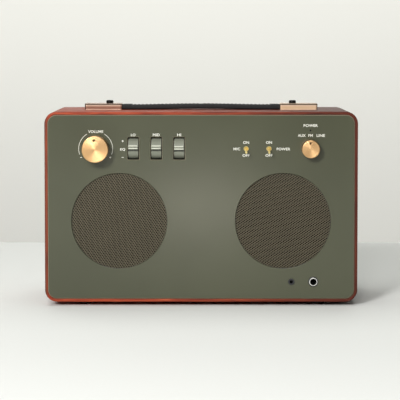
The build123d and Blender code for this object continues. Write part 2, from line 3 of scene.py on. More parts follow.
import bmesh
import bpy
import numpy as np
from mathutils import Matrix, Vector


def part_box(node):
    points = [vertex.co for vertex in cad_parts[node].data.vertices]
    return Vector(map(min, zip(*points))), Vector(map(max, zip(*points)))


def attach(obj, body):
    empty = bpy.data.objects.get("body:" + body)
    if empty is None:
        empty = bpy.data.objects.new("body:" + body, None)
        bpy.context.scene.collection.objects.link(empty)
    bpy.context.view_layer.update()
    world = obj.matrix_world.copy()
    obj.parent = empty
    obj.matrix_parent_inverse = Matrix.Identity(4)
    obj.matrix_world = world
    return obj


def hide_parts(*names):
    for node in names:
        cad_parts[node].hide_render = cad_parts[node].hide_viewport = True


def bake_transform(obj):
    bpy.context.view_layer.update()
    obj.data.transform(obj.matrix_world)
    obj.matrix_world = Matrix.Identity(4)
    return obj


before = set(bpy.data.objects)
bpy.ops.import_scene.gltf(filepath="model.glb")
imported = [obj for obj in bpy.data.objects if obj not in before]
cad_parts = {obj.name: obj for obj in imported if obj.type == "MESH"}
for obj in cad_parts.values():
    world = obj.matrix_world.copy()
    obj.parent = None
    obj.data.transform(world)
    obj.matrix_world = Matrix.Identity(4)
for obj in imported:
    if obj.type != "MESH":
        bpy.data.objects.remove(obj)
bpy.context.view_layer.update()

mm = 0.001
panelFace = 0.1                                    # depth of the panel behind the wooden rim, in mm
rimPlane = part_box("front_panel")[0].y - panelFace * mm
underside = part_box("cabinet_wrap")[0].z
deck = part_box("cabinet_wrap")[1].z                 # top of the cabinet
handleLine = sum(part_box("handle_grip")[i].y for i in (0, 1)) / 2
print("frame loaded,", len(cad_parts), "nodes")


# shapes

def at(x, height, depth):
    # a point given as x, height over the cabinet's underside and depth behind the rim, all in mm
    return np.stack(np.broadcast_arrays(
        np.asarray(x, float) * mm,
        rimPlane + np.asarray(depth, float) * mm,
        underside + np.asarray(height, float) * mm), -1)


def smoothStep(a, b, value):
    share = np.clip((value - a) / (b - a), 0, 1)
    return share * share * (3 - 2 * share)


def gridQuads(rows, cols, wrapRows, wrapCols):
    # a quad between each pair of neighbouring rows and columns; a wrapped side joins its last to its first
    i, j = np.meshgrid(np.arange(rows - (not wrapRows)), np.arange(cols - (not wrapCols)), indexing="ij")
    nextI, nextJ = (i + 1) % rows, (j + 1) % cols
    corners = [i * cols + j, nextI * cols + j, nextI * cols + nextJ, i * cols + nextJ]
    return np.stack(corners, -1).reshape(-1, 4), i.ravel(), j.ravel()


def surface(name, points, wrapRows=False, wrapCols=True, capEnds=False, along=None, across=None):
    # a grid of points becomes a mesh; along and across give its UV, one value more than it has rows or columns
    rows, cols = points.shape[:2]
    quads, i, j = gridQuads(rows, cols, wrapRows, wrapCols)
    faces = quads.tolist()
    if capEnds:
        faces += [list(range(cols)), list(range((rows - 1) * cols, rows * cols))]
    mesh = bpy.data.meshes.new(name)
    mesh.from_pydata(points.reshape(-1, 3).tolist(), [], faces)
    if along is not None:
        corner = np.stack([
            np.stack([along[i], across[j]], -1), np.stack([along[i + 1], across[j]], -1),
            np.stack([along[i + 1], across[j + 1]], -1), np.stack([along[i], across[j + 1]], -1)], 1)
        spread = np.zeros((len(mesh.loops), 2), np.float32)
        spread[:len(quads) * 4] = corner.reshape(-1, 2)
        mesh.uv_layers.new(name="grain").data.foreach_set("uv", spread.ravel())
    return mesh


def fitted(name, mesh, body, material, standsFor=(), sharp=35, ride=True):
    # merges doubles, turns the faces outwards, smooths up to an angle and hangs the piece on its body
    shape = bmesh.new()
    shape.from_mesh(mesh)
    bmesh.ops.remove_doubles(shape, verts=shape.verts, dist=2e-7)
    bmesh.ops.dissolve_degenerate(shape, edges=shape.edges, dist=1e-7)
    bmesh.ops.recalc_face_normals(shape, faces=shape.faces)
    shape.to_mesh(mesh)
    shape.free()
    mesh.shade_smooth()
    mesh.set_sharp_from_angle(angle=math.radians(sharp))
    mesh.materials.append(material)
    piece = bpy.data.objects.new(name, mesh)
    bpy.context.scene.collection.objects.link(piece)
    if standsFor:
        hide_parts(*standsFor)
    if ride:
        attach(piece, body)
    return piece


def turned(name, radius, depth, x, height, segments):
    # a profile of radius and depth turned about an axis that runs front to back
    # radius and depth may be one value for each row, or a grid of row and angle
    angle = np.linspace(0, 2 * np.pi, segments, endpoint=False)[None, :]
    radius = np.asarray(radius, float)
    radius = radius[:, None] if radius.ndim == 1 else radius
    depth = np.asarray(depth, float)
    depth = depth[:, None] if depth.ndim == 1 else depth
    return surface(name, at(x + radius * np.sin(angle), height + radius * np.cos(angle), depth))


# shader maths and materials

class Shade:
    # a socket in a node tree, so that shader maths reads as ordinary arithmetic
    def __init__(self, tree, socket=None):
        self.tree = tree
        self.socket = socket

    def node(self, kind, settings=None, inputs=None, output=0):
        made = self.tree.nodes.new(kind)
        for key, value in (settings or {}).items():
            if key == "stops":
                ramp = made.color_ramp
                while len(ramp.elements) < len(value):
                    ramp.elements.new(0.5)
                for stop, (place, colour) in zip(ramp.elements, value):
                    stop.position = place
                    stop.color = colour
            else:
                setattr(made, key, value)
        for key, value in (inputs or {}).items():
            socket = made.inputs[key]
            if isinstance(value, Shade):
                self.tree.links.new(value.socket, socket)
            else:
                socket.default_value = value
        return Shade(self.tree, made.outputs[output])

    def maths(self, operation, first, second=0.0, clamp=False):
        return self.node("ShaderNodeMath", {"operation": operation, "use_clamp": clamp}, {0: first, 1: second})

    def __add__(self, other): return self.maths("ADD", self, other)
    def __radd__(self, other): return self.maths("ADD", other, self)
    def __sub__(self, other): return self.maths("SUBTRACT", self, other)
    def __rsub__(self, other): return self.maths("SUBTRACT", other, self)
    def __mul__(self, other): return self.maths("MULTIPLY", self, other)
    def __rmul__(self, other): return self.maths("MULTIPLY", other, self)
    def __truediv__(self, other): return self.maths("DIVIDE", self, other)
    def __pow__(self, other): return self.maths("POWER", self, other)
    def __abs__(self): return self.maths("ABSOLUTE", self)

    def step(self, low, high):
        # 0 below low, 1 above high and smooth between them
        return self.node("ShaderNodeMapRange", {"interpolation_type": "SMOOTHSTEP"},
                         {"Value": self, "From Min": low, "From Max": high})

    def wave(self, pitch):
        # runs from -1 to 1 once in each pitch
        return self.maths("SINE", self * (2 * math.pi / pitch))


def rgb(red, green, blue):
    # an 8-bit screen colour as the linear one that a shader wants
    share = np.array([red, green, blue]) / 255
    linear = np.where(share <= 0.04045, share / 12.92, ((share + 0.055) / 1.055) ** 2.4)
    return (*[float(c) for c in linear], 1.0)


class Finish:
    # a material with its Principled shader; constants go straight on the sockets
    def __init__(self, name, **constants):
        self.material = bpy.data.materials.new(name)
        self.material.use_nodes = True
        tree = self.material.node_tree
        tree.nodes.clear()
        self.start = Shade(tree)
        self.shader = tree.nodes.new("ShaderNodeBsdfPrincipled")
        output = tree.nodes.new("ShaderNodeOutputMaterial")
        tree.links.new(self.shader.outputs[0], output.inputs["Surface"])
        for key, value in constants.items():
            self.shader.inputs[key.replace("_", " ")].default_value = value

    def place(self, kind="Object", stretch=(1, 1, 1)):
        where = self.start.node("ShaderNodeTexCoord", output={"Object": 3, "UV": 2}[kind])
        return self.start.node("ShaderNodeMapping", None, {"Vector": where, "Scale": stretch})

    def noise(self, where, scale, detail=3.0, roughness=0.55, distortion=0.0):
        return self.start.node("ShaderNodeTexNoise", None, {
            "Vector": where, "Scale": scale, "Detail": detail, "Roughness": roughness, "Distortion": distortion})

    def cells(self, where, scale, feature="F1", randomness=1.0):
        return self.start.node("ShaderNodeTexVoronoi", {"feature": feature}, {
            "Vector": where, "Scale": scale, "Randomness": randomness})

    def axes(self, where):
        return [self.start.node("ShaderNodeSeparateXYZ", None, {"Vector": where}, output=i) for i in range(3)]

    def mixed(self, share, first, second):
        mix = self.start.node("ShaderNodeMix", {"data_type": "RGBA"}, {0: share, 6: first, 7: second}, output=2)
        return mix

    def ramp(self, value, stops):
        return self.start.node("ShaderNodeValToRGB", {"stops": stops}, {"Fac": value})

    def bump(self, height, distance, strength=1.0, before=None):
        inputs = {"Height": height, "Distance": distance, "Strength": strength}
        if before is not None:
            inputs["Normal"] = before
        return self.start.node("ShaderNodeBump", None, inputs)

    def feed(self, **links):
        for key, value in links.items():
            self.start.tree.links.new(value.socket, self.shader.inputs[key.replace("_", " ")])
        return self.material


def mahoganyVeneer():
    # red-brown wood: streaks and pores that run along the wrap, under a thin satin lacquer
    # the wood is painted darker towards its right-hand end, a painted shade
    wood = Finish("mahogany_veneer", Coat_Weight=0.05, Coat_Roughness=0.25, Specular_IOR_Level=0.2)
    x = wood.axes(wood.place())[0]
    drift = wood.noise(wood.place("UV", (3.0, 12.0, 1.0)), 2.0, 2.0)
    figure = wood.noise(wood.place("UV", (9.0, 160.0, 1.0)), 3.2, 5.0, 0.6, 0.35)
    streak = wood.noise(wood.place("UV", (14.0, 900.0, 1.0)), 2.0, 4.0, 0.6)
    pores = wood.noise(wood.place("UV", (90.0, 2600.0, 1.0)), 1.0, 2.0, 0.5).step(0.60, 0.74)
    tone = figure * 0.62 + streak * 0.30 + drift * 0.20
    colour = wood.ramp(tone, [
        (0.36, rgb(58, 15, 7)), (0.48, rgb(114, 39, 20)), (0.60, rgb(156, 62, 34)), (0.74, rgb(190, 92, 56))])
    colour = wood.mixed(pores * 0.55, colour, rgb(48, 16, 9))
    # painted shade: the colour darkens towards the right-hand end
    paintedShadeRight = (x + (drift - 0.5) * 0.1).step(-0.11, 0.19)
    colour = wood.mixed(paintedShadeRight * 0.82, colour, rgb(44, 16, 9))
    # painted shade: the leftmost 4 mm of the wrap, with its rim, is painted duller and darker
    paintedShadeLeft = 1 - x.step(-0.1697, -0.1655)
    colour = wood.mixed(paintedShadeLeft * (0.5 + streak * 0.4), colour, rgb(66, 46, 34))
    rough = 0.40 + streak * 0.14 + pores * 0.15
    relief = streak * 0.4 - pores
    return wood.feed(Base_Color=colour, Roughness=rough, Normal=wood.bump(relief, 0.00008, 0.5))


# the two round openings of the panel, and where round them the chamfers turn from painted to bare, in mm
opening = {"x": 89.0, "height": 88.3, "kept": 57.6, "cut": 58.4}


def oliveLacquer():
    # sprayed olive metal with a fine orange peel; its chamfers are cut bare after spraying
    paint = Finish("olive_lacquer", Specular_IOR_Level=0.5)
    where = paint.place()
    x, y, z = paint.axes(where)
    face = rimPlane + panelFace * mm
    chamferStart, chamferEnd, blur = 0.03 * mm, 0.85 * mm, 0.1 * mm
    cut = y.step(face + chamferStart, face + chamferStart + blur * 0.7)
    cut = cut * (1 - y.step(face + chamferEnd, face + chamferEnd + blur))
    # the two round openings keep their paint
    offX = abs(x) - opening["x"] * mm
    offZ = z - underside - opening["height"] * mm
    cut = cut * (offX * offX + offZ * offZ).step(
        (opening["kept"] * mm) ** 2, (opening["cut"] * mm) ** 2)
    cloud = paint.noise(where, 9.0, 2.0)
    grit = paint.noise(where, 1500.0, 2.0, 0.6)
    peel = paint.noise(where, 420.0, 2.0)
    colour = paint.mixed(cloud.step(0.3, 0.7) * 0.5 + grit * 0.25, rgb(65, 67, 51), rgb(74, 76, 58))
    colour = paint.mixed(cut, colour, rgb(150, 142, 122))
    rough = 0.19 + cloud * 0.03 + grit * 0.03
    bump = paint.bump(grit * 0.3 + peel, 0.00003, 0.6)
    return paint.feed(Base_Color=colour, Metallic=cut * 0.25, Roughness=rough, Normal=bump)


def bronzeMesh():
    # the perforated sheet: warm dark paint, thinner and brighter on the worn high spots
    paint = Finish("bronze_mesh", Metallic=0.35, Specular_IOR_Level=0.5)
    where = paint.place()
    patch = paint.noise(where, 60.0, 3.0)
    grit = paint.noise(where, 2400.0, 2.0)
    colour = paint.mixed(patch * 0.6 + grit * 0.3, rgb(78, 72, 57), rgb(100, 93, 75))
    return paint.feed(Base_Color=colour, Roughness=0.42 + grit * 0.16, Normal=paint.bump(grit, 0.00002, 0.5))


def speakerCloth(name="speaker_cloth", ribX=0.166, ribZ=0.0):
    # plain weave, one thread over and one under, with a broad rib of paler thread across it
    cloth = Finish(name, Roughness=0.95, Sheen_Weight=0.15, Specular_IOR_Level=0.1)
    x, _, z = cloth.axes(cloth.place())
    weave = x.wave(0.0009) * z.wave(0.0009)
    rib = (x * (ribX * 1000) + z * (ribZ * 1000)).wave(1.0).step(-0.7, 0.7)
    fuzz = cloth.noise(cloth.place(), 1800.0, 2.0)
    thread = cloth.mixed(rib, rgb(2, 2, 2), rgb(46, 43, 34))
    colour = cloth.mixed(weave.step(-0.6, 0.6) * 0.35 + fuzz * 0.3, thread, rgb(4, 4, 4))
    return cloth.feed(Base_Color=colour, Normal=cloth.bump(weave + fuzz * 0.4, 0.00012, 0.8))


def brushedBrass(name, pale, deep, roughness, stretch, scratch=0.00001, metallic=1.0, dimples=(), capTop=None):
    # warm brass with scratches drawn out one way, faint tarnish clouds and a clear coat
    # dimples are the x and z of the knobs' dimples, whose hollows get a painted shade; capTop is the height of a cap,
    # whose front gets a painted dark reflection along its top edge and outer end
    brass = Finish(name, Metallic=metallic, Coat_Weight=0.1, Coat_Roughness=0.15)
    where = brass.place()
    lines = brass.noise(brass.place(stretch=stretch), 1.0, 3.0, 0.6)
    cloud = brass.noise(where, 22.0, 2.0)
    colour = brass.mixed(cloud.step(0.3, 0.7) * 0.6 + lines * 0.3, pale, deep)
    x, y, z = brass.axes(where)
    for dimpleX, dimpleZ in dimples:
        offX, offZ = x - dimpleX * mm, z - dimpleZ * mm - underside
        # painted shade: each dimple's hollow is painted dark brown
        mark = 1 - (offX * offX + offZ * offZ).step(0.0008 ** 2, 0.0014 ** 2)
        colour = brass.mixed(mark * 0.85, colour, rgb(58, 36, 18))
    if capTop:
        # painted shade and reflection: the left-hand cap is painted rosier and duller than the right, though both are
        # the same brass
        colour = brass.mixed(1 - x.step(-0.05, 0.05), colour, rgb(152, 110, 92))
        # painted highlight: pale lines under the dark top edge and along the foot
        paintedBevelHighlight = z.step(capTop - 0.0034, capTop - 0.0030) + 1 - z.step(capTop - 0.0064, capTop - 0.0060)
        colour = brass.mixed(paintedBevelHighlight * 0.6, colour, rgb(250, 222, 196))
        # painted reflection: a dark line along the top edge and outer end of each cap, near its front
        paintedDarkReflection = brass.start.maths("MAXIMUM", z.step(capTop - 0.0019, capTop - 0.0015),
                                    abs(x).step(0.1288, 0.1292))
        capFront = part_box("left_handle_cap")[0].y
        paintedDarkReflection = paintedDarkReflection * (1 - y.step(capFront + 0.0010, capFront + 0.0018))
        colour = brass.mixed(paintedDarkReflection * 0.85, colour, rgb(34, 25, 20))
    rough = roughness + lines * 0.10 + cloud * 0.05
    return brass.feed(Base_Color=colour, Roughness=rough, Normal=brass.bump(lines, scratch, 0.6))


def greyRoller():
    # moulded grey plastic with a fine spark texture, with a painted highlight on the rib and a painted shade in the
    # trench below it
    # up is the distance round the tread in mm, and the rib's middle is at 1.3
    plastic = Finish("roller_plastic", Specular_IOR_Level=0.45)
    where = plastic.place()
    spark = plastic.noise(where, 1900.0, 3.0, 0.6)
    cloud = plastic.noise(where, 90.0, 2.0)
    colour = plastic.mixed(spark * 0.5 + cloud * 0.4, rgb(108, 111, 100), rgb(134, 137, 123))
    up = plastic.axes(plastic.place("UV"))[0]
    # painted highlight: the rib's two crowns are painted pale
    paintedRibHighlight = abs(up - 1.3)
    paintedRibHighlight = paintedRibHighlight.step(0.35, 0.8) * (1 - paintedRibHighlight.step(1.6, 2.1))
    colour = plastic.mixed(paintedRibHighlight * 0.75, colour, rgb(204, 207, 192))
    # painted shade: the trench under the rib is painted dark
    paintedTrenchShade = up.step(-3.3, -2.7) * (1 - up.step(-1.2, -0.9))
    colour = plastic.mixed(paintedTrenchShade * 0.85, colour, rgb(34, 35, 31))
    return plastic.feed(Base_Color=colour, Roughness=0.27 + spark * 0.16, Normal=plastic.bump(spark, 0.00003, 0.6))


def strapLeather():
    # black leather: pebbled cells with creases, and grey rub on the tops of the pebbles
    leather = Finish("strap_leather", Specular_IOR_Level=0.35, Coat_Weight=0.05, Coat_Roughness=0.35)
    where = leather.place()
    pebble = leather.cells(where, 950.0, "DISTANCE_TO_EDGE")
    crease = leather.noise(leather.place(stretch=(160.0, 420.0, 420.0)), 1.0, 3.0)
    raised = pebble.step(0.02, 0.30)
    colour = leather.mixed(raised * 0.5 + crease * 0.5, rgb(7, 7, 8), rgb(22, 22, 24))
    rough = 0.46 + (1 - raised) * 0.25 + crease * 0.08
    return leather.feed(Base_Color=colour, Roughness=rough, Normal=leather.bump(raised + crease * 0.6, 0.00009, 0.8))


def castFinish(name, pale, deep, roughness, scale, relief, metallic=0.0, cloudScale=60.0, spread=0.16, **constants):
    # the plain moulded, cast or plated parts: two close tones, fine grit and clouds, with its own numbers for each
    plain = Finish(name, Metallic=metallic, **constants)
    where = plain.place()
    grit = plain.noise(where, scale, 3.0, 0.6)
    cloud = plain.noise(where, cloudScale, 3.0)
    colour = plain.mixed(cloud.step(0.3, 0.7) * 0.6 + grit * 0.4, deep, pale)
    rough = roughness + grit * spread * 0.6 + cloud * spread * 0.4
    return plain.feed(Base_Color=colour, Roughness=rough, Normal=plain.bump(grit, relief, 0.6))


def fibreboard():
    # pressed wood fibre: short pale fibres in a brown ground
    board = Finish("fibreboard", Specular_IOR_Level=0.2)
    fibres = board.noise(board.place(stretch=(900.0, 300.0, 900.0)), 1.0, 4.0, 0.7)
    cloud = board.noise(board.place(), 40.0, 3.0)
    colour = board.ramp(fibres * 0.7 + cloud * 0.3, [
        (0.32, rgb(96, 72, 50)), (0.50, rgb(134, 105, 75)), (0.68, rgb(163, 134, 100))])
    return board.feed(Base_Color=colour, Roughness=0.8 + fibres * 0.15, Normal=board.bump(fibres, 0.0001, 0.6))


def circuitBoard():
    # green board: copper runs under the lacquer, pads and a woven ground
    board = Finish("circuit_board", Specular_IOR_Level=0.5, Coat_Weight=0.4, Coat_Roughness=0.15)
    where = board.place()
    x, y, z = board.axes(where)
    runs = board.start.node("ShaderNodeTexBrick", {"offset": 0.37}, {
        "Vector": where, "Scale": 90.0, "Mortar Size": 0.06, "Mortar Smooth": 0.1,
        "Color1": rgb(24, 66, 38), "Color2": rgb(27, 74, 42), "Mortar": rgb(62, 120, 66)})
    pads = 1 - board.cells(where, 210.0).step(0.10, 0.16)
    weave = x.wave(0.0006) * z.wave(0.0006)
    colour = board.mixed(pads, runs, rgb(186, 186, 176))
    return board.feed(Base_Color=colour, Metallic=pads, Roughness=0.35 + weave * 0.05,
                      Normal=board.bump(weave * 0.2 + pads, 0.00005, 0.6))


def layeredIron():
    # stacked core plates: thin lines across the stack with a little rust between them
    iron = Finish("core_plates", Specular_IOR_Level=0.5)
    x, _, _ = iron.axes(iron.place())
    plates = x.wave(0.0007)
    rust = iron.noise(iron.place(), 130.0, 4.0)
    colour = iron.mixed(rust.step(0.5, 0.75) * 0.6, rgb(74, 75, 78), rgb(96, 66, 50))
    return iron.feed(Base_Color=colour, Metallic=1 - rust.step(0.5, 0.75), Roughness=0.45 + rust * 0.2,
                     Normal=iron.bump(plates, 0.00015, 0.8))


def drawnAluminium():
    metal = Finish("drawn_aluminium", Metallic=1.0)
    lines = metal.noise(metal.place(stretch=(1400.0, 1400.0, 30.0)), 1.0, 3.0)
    cloud = metal.noise(metal.place(), 50.0, 3.0)
    colour = metal.mixed(lines * 0.6 + cloud * 0.3, rgb(150, 152, 155), rgb(196, 198, 200))
    return metal.feed(Base_Color=colour, Roughness=0.3 + lines * 0.2, Normal=metal.bump(lines, 0.00003, 0.6))


def pressedPaper():
    # speaker cone paper: fibres and faint blotches
    paper = Finish("cone_paper", Specular_IOR_Level=0.15)
    fibres = paper.noise(paper.place(), 1300.0, 4.0, 0.7)
    blotch = paper.noise(paper.place(), 140.0, 3.0)
    colour = paper.mixed(fibres * 0.6 + blotch * 0.3, rgb(22, 22, 23), rgb(52, 51, 50))
    return paper.feed(Base_Color=colour, Roughness=0.75 + fibres * 0.2, Normal=paper.bump(fibres, 0.0001, 0.7))


materials = {
    "walnut": mahoganyVeneer(),
    "olive_panel": oliveLacquer(),
    "grille_steel": bronzeMesh(),
    "black_cloth": speakerCloth(),
    "brass_knob": brushedBrass("turned_brass", rgb(209, 170, 124), rgb(199, 159, 111), 0.25,
                               (3000.0, 3000.0, 3000.0), 0.000002,
                               dimples=((-115.16, 176.67), (118.4, 173.4))),
    "brass_cap": brushedBrass("polished_brass", rgb(244, 212, 176), rgb(228, 192, 154), 0.16, (25.0, 900.0, 900.0),
                              metallic=0.35, capTop=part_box("left_handle_cap")[1].z),
    "gold_switch": brushedBrass("gilt_switch", rgb(252, 234, 166), rgb(236, 214, 136), 0.26, (900.0, 60.0, 900.0),
                                metallic=0.75),
    "grey_roller": greyRoller(),
    "strap_leather": strapLeather(),
    "fibreboard": fibreboard(),
    "circuit_board": circuitBoard(),
    "transformer_iron": layeredIron(),
    "heatsink_aluminium": drawnAluminium(),
    "paper_cone": pressedPaper(),
    "black_board": castFinish("sealed_board", rgb(44, 43, 41), rgb(30, 29, 28), 0.55, 700.0, 0.00006),
    "black_screw": castFinish("blackened_screw", rgb(34, 33, 33), rgb(18, 18, 18), 0.28, 1500.0, 0.00002, 0.8),
    "black_plate": castFinish("powder_plate", rgb(40, 41, 42), rgb(27, 28, 28), 0.48, 1300.0, 0.00005),
    "black_plastic": castFinish("moulded_black", rgb(32, 33, 36), rgb(18, 19, 22), 0.32, 1700.0, 0.00003),
    "socket_steel": castFinish("plated_socket", rgb(205, 202, 196), rgb(168, 166, 162), 0.22, 900.0, 0.00001, 1.0),
    "rubber": castFinish("foot_rubber", rgb(30, 30, 30), rgb(17, 17, 17), 0.75, 900.0, 0.00008),
    "driver_frame": castFinish("stamped_frame", rgb(58, 59, 61), rgb(38, 39, 40), 0.42, 1100.0, 0.00004, 0.3),
    "ferrite": castFinish("sintered_ferrite", rgb(52, 51, 52), rgb(34, 34, 35), 0.62, 1500.0, 0.00006),
    "plated_steel": castFinish("zinc_plate", rgb(188, 188, 182), rgb(150, 150, 146), 0.30, 500.0, 0.00002, 1.0),
    "coil_former": castFinish("coil_former", rgb(196, 128, 74), rgb(160, 92, 48), 0.35, 2200.0, 0.00005, 0.6),
    "suspension_cloth": castFinish("treated_cloth", rgb(44, 40, 37), rgb(26, 24, 23), 0.68, 1600.0, 0.00010),
    "control_body": castFinish("control_body", rgb(92, 94, 98), rgb(62, 64, 68), 0.40, 900.0, 0.00003, 0.5),
    "black_lens": castFinish("dark_lens", rgb(16, 12, 12), rgb(8, 7, 7), 0.10, 900.0, 0.00001, Coat_Weight=1.0),
    "chrome_ring": castFinish("chrome_ring", rgb(244, 244, 240), rgb(226, 226, 222), 0.16, 700.0, 0.00001, 0.45),
    "capacitor_can": castFinish("sleeved_can", rgb(52, 48, 70), rgb(34, 32, 50), 0.38, 600.0, 0.00003),
}
print("materials made,", len(materials))

nodeSlots = {
    "front_baffle": "fibreboard", "rear_cleats": "fibreboard", "front_panel": "olive_panel",
    "rear_panel": "black_board", "rear_screws": "black_screw", "foot_screws": "black_screw",
    "driver_screws": "black_screw", "handle_screws": "black_screw", "rear_io_plate": "black_plate",
    "mains_inlet": "black_plastic", "mic_jack": "black_plastic", "mic_jack_washer": "black_plastic",
    "line_jack": "black_plastic", "av_socket": "socket_steel", "rca_sockets": "socket_steel", "feet": "rubber",
    "left_basket": "driver_frame", "right_basket": "driver_frame", "ring_magnets": "ferrite",
    "magnet_plates": "plated_steel", "panel_nuts": "plated_steel", "volume_shaft": "plated_steel",
    "selector_shaft": "plated_steel", "eq_bracket": "plated_steel", "board_spacers": "plated_steel",
    "left_cone": "paper_cone", "right_cone": "paper_cone", "left_voice_coil": "coil_former",
    "right_voice_coil": "coil_former", "left_suspension": "suspension_cloth",
    "right_suspension": "suspension_cloth", "volume_pot": "control_body", "selector_switch": "control_body",
    "eq_pots": "control_body", "toggle_bodies": "gold_switch", "mic_toggle_lever": "gold_switch",
    "power_toggle_lever": "gold_switch", "power_led": "black_lens", "mic_jack_ring": "chrome_ring",
    "main_board": "circuit_board", "supply_board": "circuit_board", "heatsink": "heatsink_aluminium",
    "board_capacitors": "capacitor_can", "transformer": "transformer_iron", "left_handle_cap": "brass_cap",
    "right_handle_cap": "brass_cap", "eq_low_wheel": "grey_roller", "eq_mid_wheel": "grey_roller",
    "eq_high_wheel": "grey_roller", "volume_knob": "brass_knob", "selector_knob": "brass_knob",
    "left_grille": "grille_steel", "right_grille": "grille_steel", "grille_cloths": "black_cloth",
    "cabinet_wrap": "walnut", "handle_grip": "strap_leather", "left_strap_end": "strap_leather",
    "right_strap_end": "strap_leather",
}
for node, slotName in nodeSlots.items():
    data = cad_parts[node].data
    data.materials.clear()
    data.materials.append(materials[slotName])


# wooden wrap

wrapCase = {"width": 340.0, "height": 207.0, "depth": 150.0, "corner": 13.0, "wall": 9.0, "rim": 3.1,
            "rebate": 2.1, "ease": 0.8, "innerEase": 0.3, "cornerSteps": 18, "easeSteps": 5}


def woodenWrap(case):
    # the wall's section, given as inset from the outer face and depth, is carried round a rounded rectangle
    # whose corner radius shrinks by the inset
    quarter = np.linspace(0, np.pi / 2, case["easeSteps"])
    e, s, depth, wall = case["ease"], case["innerEase"], case["depth"], case["wall"]
    inset = np.concatenate([
        e - e * np.sin(quarter), [0, 0, 0], e - e * np.cos(quarter), [wall - s, wall, wall, case["rim"]],
        case["rim"] - s + s * np.cos(quarter), [case["rim"] * 0.6]])
    back = np.concatenate([
        e - e * np.cos(quarter), [depth * 0.25, depth * 0.5, depth * 0.75], depth - e + e * np.sin(quarter),
        [depth, depth - s, case["rebate"], case["rebate"]], s - s * np.sin(quarter), [0.0]])
    turn = np.linspace(0, np.pi / 2, case["cornerSteps"])
    angle = np.concatenate([turn + k * np.pi / 2 for k in range(4)])
    halfW, halfH = case["width"] / 2 - case["corner"], case["height"] / 2 - case["corner"]
    centreX = np.repeat([halfW, -halfW, -halfW, halfW], case["cornerSteps"])
    centreZ = np.repeat([halfH, halfH, -halfH, -halfH], case["cornerSteps"]) + case["height"] / 2
    # the seam lies under the cabinet, where the list starts after its roll
    start = 3 * case["cornerSteps"]
    angle, centreX, centreZ = (np.roll(a, -start) for a in (angle, centreX, centreZ))
    radius = case["corner"] - inset[None, :]
    x = centreX[:, None] + radius * np.cos(angle)[:, None]
    z = centreZ[:, None] + radius * np.sin(angle)[:, None]
    points = at(x, z, back[None, :])
    outer = points[:, 5]
    along = np.concatenate([[0], np.cumsum(np.linalg.norm(np.roll(outer, -1, 0) - outer, axis=1))])
    ring = np.stack([inset, back], -1)
    across = np.concatenate([[0], np.cumsum(np.linalg.norm(np.roll(ring, -1, 0) - ring, axis=1))]) * mm
    mesh = surface("wooden_wrap", points, wrapRows=True, wrapCols=True, along=along, across=across)
    return fitted("wooden_wrap", mesh, "cabinet", materials["walnut"], ["cabinet_wrap"], sharp=40)


woodenWrap(wrapCase)
print("wooden wrap made")


# grilles and their cloth

grille = {"x": 89.0, "height": 88.3, "front": panelFace + 2.02, "thickness": 0.7, "hole": 0.92, "holeSides": 12,
          "reach": 52.7, "border": 51.7, "edge": 55.0}
# the two steps of each grille's net of holes, in mm
grilleNets = {"left": ((1.391, 2.038), (1.262, -1.751)), "right": ((1.685, 1.250), (-1.961, 1.405))}


def holeTemplate(first, second):
    # the sheet round one hole: the six-sided cell that the net leaves each hole, less a round hole
    steps = np.array([first, second, first + second, -first, -second, -first - second])
    steps = steps[np.argsort(np.arctan2(steps[:, 1], steps[:, 0]))]
    following = np.roll(steps, -1, 0)
    halves = np.stack([(steps ** 2).sum(1), (following ** 2).sum(1)], -1) / 2
    outer = np.linalg.solve(np.stack([steps, following], 1), halves[..., None])[..., 0]
    sides = grille["holeSides"]
    innerAngle = 2 * np.pi * np.arange(sides) / sides
    inner = np.stack([np.cos(innerAngle), np.sin(innerAngle)], -1) * grille["hole"]
    outerAngle = np.unwrap(np.arctan2(outer[:, 1], outer[:, 0]))
    shift = int(np.floor((outerAngle[0] - innerAngle[0]) / (2 * np.pi / sides)))
    triangles, i, j = [], 0, 0
    while i < 6 or j < sides:
        nextOuter = outerAngle[(i + 1) % 6] + (2 * np.pi if i + 1 > 5 else 0)
        nextInner = (shift + j + 1) * 2 * np.pi / sides
        near = 6 + (shift + j) % sides
        if j >= sides or (i < 6 and nextOuter <= nextInner):
            triangles.append((i % 6, (i + 1) % 6, near))
            i += 1
        else:
            triangles.append((i % 6, 6 + (shift + j + 1) % sides, near))
            j += 1
    return np.concatenate([outer, inner]), np.array(triangles)


